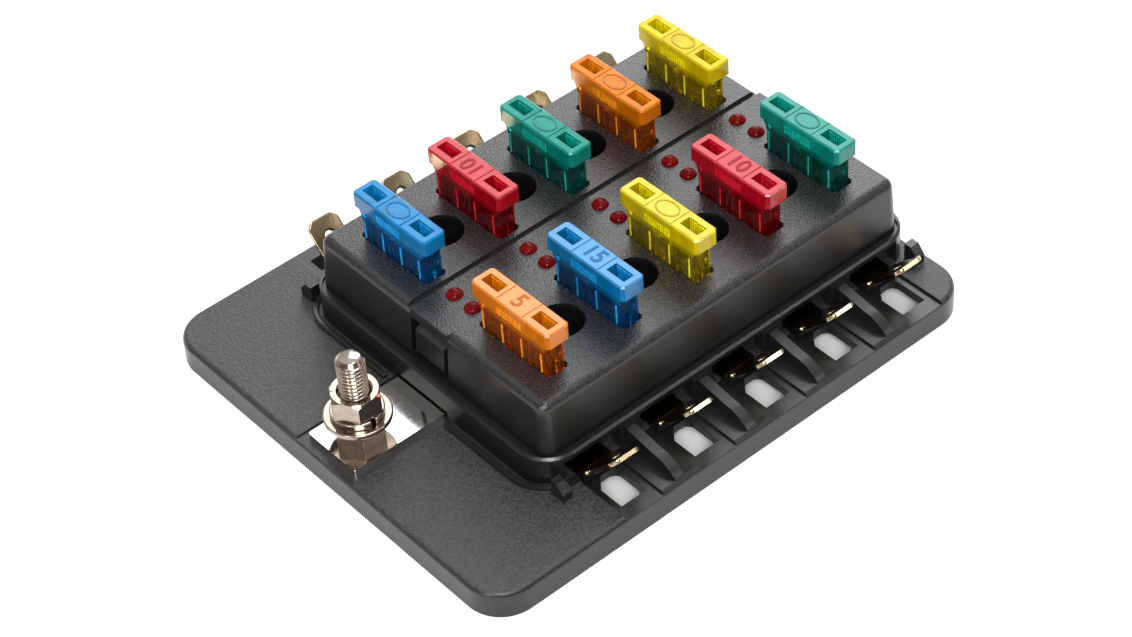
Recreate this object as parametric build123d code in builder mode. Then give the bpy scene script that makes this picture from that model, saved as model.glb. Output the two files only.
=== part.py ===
from build123d import *
from math import cos, radians, sin, tan
import os

# Ten-way blade fuse block, in millimetres.
# Row a is the row of fuses on the -Y side, row b the one on the +Y side.
# In each row number 1 is nearest the supply stud.
# The origin is on the surface that the block stands on, under the middle of the base plate.

# Base plate; it reaches past the housing by the stud bay at one end and by a tab bay on each side
plate_height = 5.2
stud_bay = 21.2
plate_end_margin = 0.7
tab_bay = 12.6
plate_skin = 2.2
plate_wall = 2.0
plate_corner = 7.0
plate_edge_round = 1.0
plate_rib = 1.6
plate_rib_line = 21.0

# Fuse layout
fuse_ways = 5
fuse_pitch = 16.0
fuse_row = 15.5
block_shift = (stud_bay - plate_end_margin) / 2
way_x = [block_shift + (n - (fuse_ways - 1) / 2) * fuse_pitch for n in range(fuse_ways)]
gap_x = [x + fuse_pitch / 2 for x in way_x[:-1]]
row_sign = {"a": -1, "b": 1}

# Housing
row_end_margin = 10.3
row_side_margin = 16.1
tier_corner = 6.5
tier_rise = 5.8
tier_wall = 2.0
tier_edge = 0.4
ledge_thickness = 1.8
ledge_end = 2.0
ledge_side = 1.8
block_corner = 2.5
block_rise = 10.3
block_draft = 3.7
block_edge_round = 1.7
block_wall = 2.2
top_thickness = 2.0
ledge_groove_width = 0.6
ledge_groove_depth = 0.5
doorway_width = 11.5
doorway_lintel = 1.3
groove_line = 4.9
groove_width = 1.15
groove_depth = 0.7

# Latch windows for a cover, one in each end wall
latch_centre = -0.5
latch_width = 9.6
latch_sill = 0.4
latch_head = 1.8
latch_depth = 1.5
tongue_width = 7.4
tongue_sill_gap = 1.2
tongue_head_gap = 1.3
tongue_nose = 1.0
latch_infill = 3.0

# Round recesses between the fuses
cup_diameter = 8.2
cup_depth = 9.0
cup_wall = 1.0

# Blade fuse
fuse_rise = 9.4
head_length = 19.1
head_width = 5.0
head_height = 3.0
head_corner = 0.6
head_edge = 0.3
body_length = 15.4
body_width = 4.3
body_sink = 2.8
ear_rise = 2.3
ear_knee = 0.4
window_length = 4.2
window_width = 2.2
window_offset = 6.2
pad_length = 6.3
pad_line = 0.25
pad_line_depth = 0.15
blade_width = 5.2
blade_thickness = 0.65
blade_offset = 4.75
blade_free_length = 6.7
blade_tip_chamfer = 0.7
element_sink = 4.1
link_width = 0.9
link_drop = 4.0
link_bow = 1.6
chamber_width = 2.5
chamber_floor = 1.1
waist_length = 4.4
waist_depth = 0.35
end_groove_width = 1.3
end_groove_depth = 0.15
stake_width = 1.4
stake_length = 1.8
stake_depth = 0.4
stake_drop = 6.3
element_clearance = 0.05

# Fuse pocket in the housing top
pocket_side_clearance = 0.15
pocket_end_clearance = 1.2
pocket_end_width = 3.8
pocket_mid_clearance = 0.1
pocket_tooth = 0.8
pocket_rim = 0.9
pocket_rim_drop = 1.8

# Supply busbar and the clips on it
bar_width = 12.3
bar_thickness = 1.2
bar_bed_depth = 0.3
bar_bed_side = 1.45
bar_bed_end = 1.7
bar_start_margin = 2.0
bar_end_margin = 4.5
bar_arm_width = 5.6
bar_corner = 0.5
bar_door_clearance = 0.5

# Clips that hold the blades
clip_length = 5.0
clip_stock = 0.45
clip_clearance = 0.05
clip_belly = 1.3
clip_mouth = 1.1
clip_top_gap = 1.5
clip_throat_drop = 2.4
clip_throat = 2.0
clip_belly_height = 2.6

# Output terminals with 6.3 mm tabs
tab_width = 6.3
tab_thickness = 0.8
tab_out = 8.4
tab_rise = 8.95
tab_angle = 45.0
tab_free_length = 9.0
tab_tip_chamfer = 1.1
tab_hole = 1.8
tab_hole_from_tip = 3.6
strap_width = 7.4
strap_bend = 0.6
strap_inner_margin = 0.3

# Bays under the tabs
trough_width = 7.9
trough_depth = 0.5
trough_gap = 1.4
tie_width = 5.3
tie_length = 7.5
tie_gap = 5.85
tie_corner_x = 2.1
tie_corner_y = 2.5
tie_round = 1.5
ramp_reach = 1.3
divider_thickness = 1.9
divider_root_height = 3.5
divider_shoulder = 6.2
divider_shoulder_height = 2.4
divider_gap = 0.1
fin_reach = 3.0
fin_height = 3.4
fin_inset = 2.0

# Bead round the foot of the housing, at the stud end
bead_width = 1.0
bead_height = 1.0
bead_end_gap = 0.9
bead_side_gap = 0.3
bead_corner = 8.0
bead_edge = 0.25

# Stud, nuts and washers
stud_diameter = 5.0
stud_from_bar_end = 6.2
stud_free_length = 7.2
stud_chamfer = 0.7
hex_flats = 8.0
hex_head_height = 2.5
hex_pocket_clearance = 0.1
hex_chamfer = 0.5
nut_height = 4.0
thread_clearance = 0.05
washer_diameter = 11.6
washer_thickness = 1.0
lock_diameter = 9.2
lock_thickness = 1.2
lock_split = 0.8
washer_clearance = 0.15
bar_hole_clearance = 0.25
stud_island = 14.0

# Screws that hold the housing to the plate
screw_inset = 6.4
screw_diameter = 3.0
screw_head = 5.4
screw_head_height = 1.8
screw_depth = 7.8
screw_boss = 6.0
screw_hole_clearance = 0.15
screw_well_clearance = 0.6
screw_tip_clearance = 1.0

# Lamps and their circuit board
lamp_diameter = 2.95
lamp_shift = -0.4
lamp_line = -0.85
lamp_half_spacing = 2.35
lamp_rise = 1.0
lamp_rim = 0.3
lamp_shoulder = 0.7
lamp_seat_gap = 0.9
lamp_clearance = 0.05
lead_side = 0.5
lead_spacing = 2.54
lead_length = 3.0
lead_clearance = 0.1
board_end_margin = 5.0
board_rim_gap = 0.15
board_thickness = 1.6
board_post = 3.6
board_peg = 1.8
board_peg_out = 0.6
board_peg_clearance = 0.1
resistor_length = 3.2
resistor_width = 1.6
resistor_height = 0.6
resistor_shift = 3.6

# Lengths, heights and places that follow from the sizes above
tier_length = (fuse_ways - 1) * fuse_pitch + 2 * row_end_margin
tier_width = 2 * (fuse_row + row_side_margin)
block_length = tier_length - 2 * ledge_end
block_width = tier_width - 2 * ledge_side
plate_length = stud_bay + tier_length + plate_end_margin
plate_width = tier_width + 2 * tab_bay
board_length = (fuse_ways - 1) * fuse_pitch + 2 * board_end_margin
bar_start = -plate_length / 2 + bar_start_margin
tab_reach = tier_width / 2 + tab_out
trough_inner = tier_width / 2 + trough_gap
tie_line = tier_width / 2 + tie_gap
fin_line = tier_length / 2 - fin_inset
screw_y = tier_width / 2 - screw_inset
tier_top = plate_height + tier_rise
block_top = tier_top + block_rise
doorway_top = tier_top - doorway_lintel
latch_low = tier_top + latch_sill
latch_high = block_top - latch_head
tongue_low = latch_low + tongue_sill_gap
tongue_high = latch_high - tongue_head_gap
fuse_top = block_top + fuse_rise
body_low = block_top - body_sink
blade_tip = body_low - blade_free_length
element_top = fuse_top - element_sink
link_low = element_top - link_drop
chamber_low = body_low + chamber_floor
clip_top = body_low - clip_top_gap
clip_throat_high = clip_top - clip_throat_drop
clip_throat_low = clip_throat_high - clip_throat
tab_tip_height = plate_height + tab_rise
screw_top = plate_height + screw_depth
bar_low = plate_height - bar_bed_depth
bar_high = bar_low + bar_thickness
strap_high = plate_height + tab_thickness
top_inside = block_top - top_thickness
board_high = top_inside - lamp_seat_gap
board_low = board_high - board_thickness
screw_head_low = plate_height - plate_skin - screw_head_height
head_low = fuse_top - head_height
stake_height = head_low - stake_drop
nut_low = bar_high
washer_low = nut_low + nut_height
lock_low = washer_low + washer_thickness
upper_nut_low = lock_low + lock_thickness
stud_top = upper_nut_low + nut_height + stud_free_length
stud_x = bar_start + stud_from_bar_end
draft_shift = (block_top - tier_top) * tan(radians(block_draft))
block_end = block_length / 2 - draft_shift
latch_back = block_end - latch_depth
pocket_width = body_width + 2 * pocket_side_clearance
pocket_length = body_length + 2 * pocket_end_clearance
pocket_mid_length = body_length + 2 * pocket_mid_clearance
board_width = 2 * (fuse_row - abs(lamp_line) - pocket_length / 2 - pocket_rim - board_rim_gap)
row_places = [(x, sign * fuse_row) for sign in (-1, 1) for x in way_x]
cup_places = [(x, sign * fuse_row) for sign in (-1, 1) for x in gap_x]
screw_places = [(x, sign * screw_y) for x in (gap_x[0], gap_x[-1]) for sign in (-1, 1)]
board_post_places = [(x, lamp_line) for x in (gap_x[0], gap_x[-1])]
lamp_places = [(x + lamp_shift, lamp_line + sign * lamp_half_spacing) for sign in (-1, 1) for x in way_x]
tip_along = Vector(0, cos(radians(tab_angle)), sin(radians(tab_angle)))
tip_up = Vector(0, -sin(radians(tab_angle)), cos(radians(tab_angle)))

os.makedirs("parts", exist_ok=True)


def save(builder, label):
    builder.part.label = label
    export_step(builder.part, f"parts/{label}.step")


def save_at(master, label, x, y, turn=0):
    with BuildPart() as copy:
        with Locations(Location((x, y, 0), (0, 0, turn))):
            add(master.part)
    save(copy, label)


# Base plate: a shallow moulded tray, open below, with ribs and one island under its skin
with BuildPart() as base_plate:
    with BuildSketch():
        RectangleRounded(plate_length, plate_width, plate_corner)
    extrude(amount=plate_height)
    fillet(base_plate.faces().sort_by(Axis.Z)[-1].edges(), plate_edge_round)
    with BuildSketch():
        RectangleRounded(
            plate_length - 2 * plate_wall,
            plate_width - 2 * plate_wall,
            plate_corner - plate_wall,
        )
        with Locations(*[(x, 0) for x in gap_x]):
            Rectangle(plate_rib, plate_width, mode=Mode.SUBTRACT)
        with GridLocations(0, 2 * plate_rib_line, 1, 2):
            Rectangle(plate_length, plate_rib, mode=Mode.SUBTRACT)
        with Locations((stud_x, 0)):
            Rectangle(stud_island, stud_island, mode=Mode.SUBTRACT)
        with Locations(*screw_places):
            Rectangle(screw_head + 2 * screw_well_clearance, screw_head + 2 * screw_well_clearance)
    extrude(amount=plate_height - plate_skin, mode=Mode.SUBTRACT)
    # Bed of the busbar
    with BuildSketch(Plane.XY.offset(bar_low)):
        bed_start = bar_start - bar_bed_end
        bed_stop = way_x[-1] + bar_end_margin
        with Locations(((bed_start + bed_stop) / 2, 0)):
            Rectangle(bed_stop - bed_start, bar_width + 2 * bar_bed_side)
        with Locations(*[(x, 0) for x in way_x]):
            Rectangle(bar_arm_width + 1, 2 * (fuse_row - blade_offset) + clip_length + 1)
    extrude(amount=plate_height, mode=Mode.SUBTRACT)
    # Pocket for the head of the stud
    with BuildSketch(Plane.XY.offset(bar_low - hex_head_height)):
        with Locations((stud_x, 0)):
            RegularPolygon(hex_flats / 2 + hex_pocket_clearance, 6, major_radius=False)
    extrude(amount=plate_height, mode=Mode.SUBTRACT)
    # Screw holes; the heads bear on the skin from below
    with BuildSketch():
        with Locations(*screw_places):
            Circle(screw_diameter / 2 + screw_hole_clearance)
    extrude(amount=plate_height, mode=Mode.SUBTRACT)
    # Bead round the foot of the housing
    with BuildSketch(Plane.XY.offset(plate_height)):
        ring_x = tier_length + 2 * bead_end_gap
        ring_y = tier_width + 2 * bead_side_gap
        with Locations((block_shift, 0)):
            RectangleRounded(ring_x + 2 * bead_width, ring_y + 2 * bead_width, bead_corner)
            RectangleRounded(ring_x, ring_y, bead_corner - bead_width, mode=Mode.SUBTRACT)
        with Locations((way_x[0] - trough_width / 2, 0)):
            Rectangle(
                plate_length,
                plate_width,
                align=(Align.MAX, Align.CENTER),
                mode=Mode.INTERSECT,
            )
        Rectangle(plate_length, bar_width + 2 * bar_bed_side + bead_width, mode=Mode.SUBTRACT)
    bead = extrude(amount=bead_height)
    chamfer(bead.faces().sort_by(Axis.Z)[-1].edges(), bead_edge)
    for sign in row_sign.values():
        # Troughs, open at the edge of the plate
        with BuildSketch(Plane.XY.offset(plate_height - trough_depth)):
            with Locations(*[(x, sign * (trough_inner + plate_width) / 2) for x in way_x]):
                Rectangle(trough_width, plate_width - trough_inner)
        extrude(amount=plate_height, mode=Mode.SUBTRACT)
        # Cable-tie holes, with one inner corner cut off and the other rounded
        with BuildSketch():
            for x in way_x:
                with BuildLine():
                    inner = sign * (tie_line - tie_length / 2)
                    outer = sign * (tie_line + tie_length / 2)
                    left = x - tie_width / 2
                    right = x + tie_width / 2
                    Polyline(
                        (right, inner + sign * tie_round),
                        (right, outer),
                        (left, outer),
                        (left, inner + sign * tie_corner_y),
                        (left + tie_corner_x, inner),
                        (right - tie_round, inner),
                    )
                    RadiusArc(
                        (right - tie_round, inner),
                        (right, inner + sign * tie_round),
                        -sign * tie_round,
                    )
                make_face()
        extrude(amount=plate_height, mode=Mode.SUBTRACT)
        # Ramps that back the roots of the tabs
        with BuildSketch(Plane.YZ):
            with BuildLine():
                foot = tab_reach - (tab_tip_height - plate_height) / tan(radians(tab_angle))
                foot = foot + tab_thickness / sin(radians(tab_angle))
                Polyline(
                    (sign * foot, plate_height),
                    (sign * (foot + ramp_reach), plate_height),
                    (sign * (foot + ramp_reach), plate_height + ramp_reach * tan(radians(tab_angle))),
                    close=True,
                )
            make_face()
        ramp = extrude(amount=strap_width / 2, both=True, mode=Mode.PRIVATE)
        with Locations(*[(x, 0, 0) for x in way_x]):
            add(ramp)
        # Divider ribs, from the piers of the housing down to the edge of the plate
        with BuildSketch(Plane.YZ):
            with BuildLine():
                root = tier_width / 2 + divider_gap
                edge = plate_width / 2 - plate_edge_round / 2
                low = plate_height - plate_edge_round
                shoulder = (root + divider_shoulder, plate_height + divider_shoulder_height)
                Polyline(
                    (sign * edge, low),
                    (sign * root, low),
                    (sign * root, plate_height + divider_root_height),
                    (sign * shoulder[0], shoulder[1]),
                )
                ThreePointArc(
                    (sign * shoulder[0], shoulder[1]),
                    (
                        sign * (0.3 * shoulder[0] + 0.7 * edge),
                        0.5 * (shoulder[1] + plate_height) + divider_gap,
                    ),
                    (sign * edge, plate_height - plate_edge_round / 4),
                )
                Line((sign * edge, plate_height - plate_edge_round / 4), (sign * edge, low))
            make_face()
        divider = extrude(amount=divider_thickness / 2, both=True, mode=Mode.PRIVATE)
        with Locations(*[(x, 0, 0) for x in gap_x]):
            add(divider)
        # Short upright fins at both ends of the row
        with BuildSketch(Plane.YZ):
            with BuildLine():
                Polyline(
                    (sign * root, low),
                    (sign * (root + fin_reach), low),
                    (sign * (root + fin_reach), plate_height + fin_height / 2),
                    (sign * (root + fin_reach / 2), plate_height + fin_height),
                    (sign * root, plate_height + fin_height),
                    close=True,
                )
            make_face()
        fin = extrude(amount=divider_thickness / 2, both=True, mode=Mode.PRIVATE)
        with Locations((block_shift + fin_line, 0, 0), (block_shift - fin_line, 0, 0)):
            add(fin)
save(base_plate, "base_plate")


# Housing: lower tier, drafted upper block, pockets, recesses and latch windows
with BuildPart() as fuse_housing:
    with BuildSketch(Plane.XY.offset(plate_height)):
        with Locations((block_shift, 0)):
            RectangleRounded(tier_length, tier_width, tier_corner)
    extrude(amount=tier_top - plate_height)
    chamfer(fuse_housing.faces().sort_by(Axis.Z)[-1].edges(), tier_edge)
    with BuildSketch(Plane.XY.offset(tier_top - ledge_groove_depth)):
        with Locations((block_shift, 0)):
            RectangleRounded(
                block_length + 2 * ledge_groove_width,
                block_width + 2 * ledge_groove_width,
                block_corner + ledge_groove_width,
            )
            RectangleRounded(block_length, block_width, block_corner, mode=Mode.SUBTRACT)
    extrude(amount=tier_top, mode=Mode.SUBTRACT)
    with BuildSketch(Plane.XY.offset(tier_top)):
        with Locations((block_shift, 0)):
            RectangleRounded(block_length, block_width, block_corner)
    extrude(amount=block_top - tier_top, taper=block_draft)
    fillet(fuse_housing.faces().sort_by(Axis.Z)[-1].edges(), block_edge_round)
    # Square edge of the top above each latch window
    with BuildSketch(Plane.XZ.offset(-latch_centre)):
        for sign in (-1, 1):
            with BuildLine():
                drop = block_edge_round * tan(radians(block_draft))
                Polyline(
                    (block_shift + sign * (block_end - latch_infill), block_top),
                    (block_shift + sign * block_end, block_top),
                    (block_shift + sign * (block_end + drop), block_top - block_edge_round),
                    (block_shift + sign * (block_end - latch_infill), block_top - block_edge_round),
                    close=True,
                )
            make_face()
    extrude(amount=latch_width / 2, both=True)
    # Hollow inside
    with BuildSketch(Plane.XY.offset(plate_height)):
        with Locations((block_shift, 0)):
            RectangleRounded(
                tier_length - 2 * tier_wall,
                tier_width - 2 * tier_wall,
                tier_corner - tier_wall,
            )
    extrude(amount=tier_top - ledge_thickness - plate_height, mode=Mode.SUBTRACT)
    with BuildSketch(Plane.XY.offset(plate_height)):
        with Locations((block_shift, 0)):
            Rectangle(
                2 * (block_end - block_wall),
                block_width - 2 * draft_shift - 2 * block_wall,
            )
    extrude(amount=top_inside - plate_height, mode=Mode.SUBTRACT)
    # Bosses, cups, pocket rims and board posts that hang inside
    with BuildSketch(Plane.XY.offset(plate_height)):
        with Locations(*screw_places):
            Rectangle(screw_boss, screw_boss)
    extrude(amount=top_inside - plate_height)
    with BuildSketch(Plane.XY.offset(block_top - cup_depth - cup_wall)):
        with Locations(*cup_places):
            Rectangle(cup_diameter + 2 * cup_wall, cup_diameter + 2 * cup_wall)
    extrude(amount=cup_depth + cup_wall - top_thickness)
    with BuildSketch(Plane.XY.offset(top_inside - pocket_rim_drop)):
        with Locations(*row_places):
            Rectangle(pocket_width + 2 * pocket_rim, pocket_length + 2 * pocket_rim)
    extrude(amount=pocket_rim_drop)
    with BuildSketch(Plane.XY.offset(board_high)):
        with Locations(*board_post_places):
            Rectangle(board_post, board_post)
    extrude(amount=top_inside - board_high)
    with BuildSketch(Plane.XY.offset(board_low - board_peg_out)):
        with Locations(*board_post_places):
            Rectangle(board_peg, board_peg)
    extrude(amount=top_inside - board_low + board_peg_out)
    # Fuse pockets, with narrower ends and small teeth
    with BuildSketch(Plane.XY.offset(top_inside - pocket_rim_drop)):
        with Locations(*row_places):
            Rectangle(pocket_width, pocket_mid_length)
            Rectangle(pocket_end_width, pocket_length)
            with GridLocations(0, pocket_length - 2 * pocket_tooth, 1, 2):
                Rectangle(pocket_width, pocket_tooth)
    extrude(amount=block_top, mode=Mode.SUBTRACT)
    # Round recesses
    with BuildSketch(Plane.XY.offset(block_top - cup_depth)):
        with Locations(*cup_places):
            Circle(cup_diameter / 2)
    extrude(amount=block_top, mode=Mode.SUBTRACT)
    # Lamp holes
    with BuildSketch(Plane.XY.offset(top_inside)):
        with Locations(*lamp_places):
            Circle(lamp_diameter / 2 + lamp_clearance)
    extrude(amount=block_top, mode=Mode.SUBTRACT)
    # Pilot holes of the housing screws
    with BuildSketch(Plane.XY.offset(plate_height)):
        with Locations(*screw_places):
            Circle(screw_diameter / 2)
    extrude(amount=screw_top + screw_tip_clearance - plate_height, mode=Mode.SUBTRACT)
    # Groove across the top, and the doorways in the tier
    with BuildSketch(Plane.XY.offset(block_top - groove_depth)):
        with Locations((block_shift, groove_line)):
            Rectangle(tier_length, groove_width)
    extrude(amount=block_top, mode=Mode.SUBTRACT)
    with BuildSketch(Plane.XY.offset(plate_height)):
        with Locations(*[(x, sign * (tier_width - tier_wall) / 2) for sign in (-1, 1) for x in way_x]):
            Rectangle(doorway_width, 1.5 * tier_wall)
    extrude(amount=doorway_top - plate_height, mode=Mode.SUBTRACT)
    with BuildSketch(Plane.XY.offset(plate_height)):
        with Locations((block_shift - (tier_length - tier_wall) / 2, 0)):
            Rectangle(1.5 * tier_wall, bar_width + 2 * bar_door_clearance)
    extrude(amount=bar_high + bar_door_clearance - plate_height, mode=Mode.SUBTRACT)
    # Latch windows and their wedge-shaped tongues
    for sign in (-1, 1):
        back = block_shift + sign * latch_back
        with BuildSketch(Plane.XZ.offset(-latch_centre)):
            with Locations((back, (latch_low + latch_high) / 2)):
                Rectangle(
                    2 * latch_depth,
                    latch_high - latch_low,
                    align=(Align.MAX if sign < 0 else Align.MIN, Align.CENTER),
                )
        extrude(amount=latch_width / 2, both=True, mode=Mode.SUBTRACT)
        with BuildSketch(Plane.XZ.offset(-latch_centre)):
            with BuildLine():
                face = block_shift + sign * (block_end + (block_top - tongue_low) * tan(radians(block_draft)))
                brow = block_shift + sign * (block_end + (block_top - tongue_high) * tan(radians(block_draft)))
                Polyline(
                    (back, tongue_low),
                    (face, tongue_low),
                    (brow, tongue_high - tongue_nose),
                    (back, tongue_high),
                    close=True,
                )
            make_face()
        extrude(amount=tongue_width / 2, both=True)
save(fuse_housing, "fuse_housing")


def make_clip(low):
    """Two spring leaves on a flat foot, for one blade; the blade stands over the origin."""
    gap = blade_thickness / 2 + clip_clearance
    with BuildPart() as clip:
        with BuildSketch(Plane.XZ):
            with BuildLine():
                Polyline(
                    (0, low + clip_stock),
                    (clip_belly, low + clip_stock),
                    (clip_belly, low + clip_stock + clip_belly_height),
                    (gap, clip_throat_low),
                    (gap, clip_throat_high),
                    (clip_mouth, clip_top),
                )
                offset(amount=clip_stock, kind=Kind.INTERSECTION, side=Side.RIGHT)
            make_face()
            mirror(about=Plane.YZ)
        extrude(amount=clip_length / 2, both=True)
    return clip.part


# Busbar: a flat strip with one arm for each pair of fuses, and a clip on each arm end
bar_clip = make_clip(bar_high)
with BuildPart() as busbar:
    bar_stop = way_x[-1] + bar_end_margin - bar_bed_side
    with BuildSketch(Plane.XY.offset(bar_low)):
        with Locations(((bar_start + bar_stop) / 2, 0)):
            Rectangle(bar_stop - bar_start, bar_width)
        with Locations(*[(x, 0) for x in way_x]):
            Rectangle(bar_arm_width, 2 * (fuse_row - blade_offset) + clip_length)
        with Locations((stud_x, 0)):
            Circle(stud_diameter / 2 + bar_hole_clearance, mode=Mode.SUBTRACT)
    extrude(amount=bar_thickness)
    fillet(busbar.edges().filter_by(Axis.Z).group_by(Axis.X)[0], bar_corner)
    with Locations(*[(x, sign * (fuse_row - blade_offset)) for sign in (-1, 1) for x in way_x]):
        add(bar_clip)
save(busbar, "busbar")


# Output terminal: clip, flat strap under the housing and a tab bent up outside it
# The master lies in row b with the middle of its fuse at x = 0
terminal_clip = make_clip(strap_high)
with BuildPart() as output_terminal:
    strap_start = fuse_row + blade_offset - clip_length / 2 - strap_inner_margin
    strap_stop = tab_reach - (tab_tip_height - plate_height) / tan(radians(tab_angle))
    strap_stop = strap_stop + tab_thickness / sin(radians(tab_angle))
    tip_low = Vector(0, tab_reach, tab_tip_height) - tab_thickness * tip_up
    with BuildSketch(Plane.YZ):
        with BuildLine():
            FilletPolyline(
                (strap_start, plate_height),
                (strap_stop, plate_height),
                (tip_low.Y, tip_low.Z),
                radius=strap_bend + tab_thickness,
            )
            offset(amount=tab_thickness, side=Side.LEFT)
        make_face()
    extrude(amount=strap_width / 2, both=True)
    # Tab outline: narrower than the strap, with two chamfered corners and a hole
    tab_plane = Plane(origin=(0, tab_reach, tab_tip_height), x_dir=(1, 0, 0), z_dir=tip_up)
    with BuildSketch(tab_plane):
        with Locations((0, 0)):
            Rectangle(2 * strap_width, tab_free_length, align=(Align.CENTER, Align.MAX))
        with BuildLine():
            Polyline(
                (-tab_width / 2, -tab_free_length),
                (-tab_width / 2, -tab_tip_chamfer),
                (-tab_width / 2 + tab_tip_chamfer, 0),
                (tab_width / 2 - tab_tip_chamfer, 0),
                (tab_width / 2, -tab_tip_chamfer),
                (tab_width / 2, -tab_free_length),
                close=True,
            )
        make_face(mode=Mode.SUBTRACT)
        with Locations((0, -tab_hole_from_tip)):
            Circle(tab_hole / 2)
    extrude(amount=-2 * tab_thickness, mode=Mode.SUBTRACT)
    with Locations((0, fuse_row + blade_offset)):
        add(terminal_clip)


# Fuse body: clear coloured plastic, head with two test windows, ears, waist and stake dimples
with BuildPart() as fuse_body:
    with BuildSketch(Plane.YZ):
        with BuildLine():
            half = body_length / 2
            ear = head_length / 2 - head_corner
            Polyline(
                (half, body_low),
                (half, head_low - ear_rise),
                (half + ear_knee * (ear - half), head_low - ear_knee * ear_rise),
                (ear, head_low),
                (ear, head_low + head_height / 2),
                (-ear, head_low + head_height / 2),
                (-ear, head_low),
                (-half - ear_knee * (ear - half), head_low - ear_knee * ear_rise),
                (-half, head_low - ear_rise),
                (-half, body_low),
                close=True,
            )
        make_face()
    extrude(amount=body_width / 2, both=True)
    with BuildSketch(Plane.XY.offset(head_low)) as head_outline:
        Rectangle(head_width, head_length)
        chamfer(head_outline.vertices(), head_corner)
    extrude(amount=head_height)
    chamfer(fuse_body.faces().sort_by(Axis.Z)[-1].edges(), head_edge)
    # Waist on both broad sides, between the two blades
    with BuildSketch(Plane.XY.offset(body_low)):
        with GridLocations(body_width, 0, 2, 1):
            Rectangle(2 * waist_depth, waist_length)
        with GridLocations(0, body_length, 1, 2):
            Rectangle(end_groove_width, 2 * end_groove_depth)
    extrude(amount=head_low - ear_rise - body_low, mode=Mode.SUBTRACT)
    # Slot for the element and the chamber round its link
    with BuildSketch(Plane.XY.offset(body_low)):
        slot_length = 2 * blade_offset + blade_width + 2 * element_clearance
        Rectangle(blade_thickness + 2 * element_clearance, slot_length)
    extrude(amount=element_top + element_clearance - body_low, mode=Mode.SUBTRACT)
    with BuildSketch(Plane.XY.offset(chamber_low)):
        Rectangle(chamber_width, 2 * blade_offset - blade_width)
    extrude(amount=element_top + element_clearance - chamber_low, mode=Mode.SUBTRACT)
    # Test windows down to the tops of the blades
    with BuildSketch(Plane.XY.offset(element_top)):
        with GridLocations(0, 2 * window_offset, 1, 2):
            Rectangle(window_width, window_length)
    extrude(amount=head_height * 2, mode=Mode.SUBTRACT)
    # Lines at both ends of the pad that carries the rating
    with BuildSketch(Plane.XY.offset(fuse_top - pad_line_depth)):
        with GridLocations(0, pad_length, 1, 2):
            Rectangle(2 * head_width, pad_line)
    extrude(amount=head_height, mode=Mode.SUBTRACT)
    # Marks where the plastic is staked through the blades
    for side in (-1, 1):
        with BuildSketch(Plane.YZ.offset(side * (body_width / 2 - stake_depth))):
            with Locations((-blade_offset, stake_height), (blade_offset, stake_height)):
                Rectangle(stake_width, stake_length)
        extrude(amount=side * body_width, mode=Mode.SUBTRACT)


# Fuse element: two blades joined by a thin bowed link, stamped from one sheet
with BuildPart() as fuse_element:
    with BuildSketch(Plane.YZ) as element_outline:
        with Locations(*[(sign * blade_offset, (blade_tip + element_top) / 2) for sign in (-1, 1)]):
            Rectangle(blade_width, element_top - blade_tip)
        chamfer(element_outline.vertices().group_by(Axis.Y)[0], blade_tip_chamfer)
        with BuildLine():
            inner = blade_offset - blade_width / 2
            Polyline(
                (-inner, link_low),
                (-inner / 2, link_low + link_bow),
                (inner / 2, link_low + link_bow),
                (inner, link_low),
                (inner, link_low + link_width),
                (inner / 2, link_low + link_bow + link_width),
                (-inner / 2, link_low + link_bow + link_width),
                (-inner, link_low + link_width),
                close=True,
            )
        make_face()
    extrude(amount=blade_thickness / 2, both=True)


for row, sign in row_sign.items():
    for n, x in enumerate(way_x, start=1):
        y = sign * fuse_row
        save_at(fuse_body, f"fuse_body_{row}{n}", x, y)
        save_at(fuse_element, f"fuse_element_{row}{n}", x, y)
        save_at(output_terminal, f"output_terminal_{row}{n}", x, 0, 0 if sign > 0 else 180)


# Lamp: a 3 mm light-emitting diode with a low crown and two leads
with BuildPart() as lamp:
    with BuildSketch(Plane.XZ):
        with BuildLine():
            radius = lamp_diameter / 2
            Polyline(
                (0, board_high),
                (radius, board_high),
                (radius, block_top + lamp_rim),
                (radius - lamp_shoulder, block_top + lamp_rise),
                (0, block_top + lamp_rise),
                close=True,
            )
        make_face()
    revolve(axis=Axis.Z)
    with BuildSketch(Plane.XY.offset(board_high)):
        with GridLocations(lead_spacing, 0, 2, 1):
            Rectangle(lead_side, lead_side)
    extrude(amount=-lead_length)

for row, sign in row_sign.items():
    for n, x in enumerate(way_x, start=1):
        save_at(lamp, f"lamp_{row}{n}", x + lamp_shift, lamp_line + sign * lamp_half_spacing)


# Circuit board of the lamps
with BuildPart() as circuit_board:
    with BuildSketch(Plane.XY.offset(board_low)):
        with Locations((block_shift, lamp_line)):
            Rectangle(board_length, board_width)
        with Locations(*board_post_places):
            Rectangle(
                board_peg + 2 * board_peg_clearance,
                board_peg + 2 * board_peg_clearance,
                mode=Mode.SUBTRACT,
            )
        with Locations(*lamp_places):
            with GridLocations(lead_spacing, 0, 2, 1):
                Rectangle(
                    lead_side + 2 * lead_clearance,
                    lead_side + 2 * lead_clearance,
                    mode=Mode.SUBTRACT,
                )
    extrude(amount=board_thickness)
save(circuit_board, "circuit_board")

with BuildPart() as resistors:
    with BuildSketch(Plane.XY.offset(board_low)):
        with Locations(*[(x + resistor_shift, y) for x, y in lamp_places]):
            Rectangle(resistor_length, resistor_width)
    extrude(amount=-resistor_height)
save(resistors, "resistors")

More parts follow.
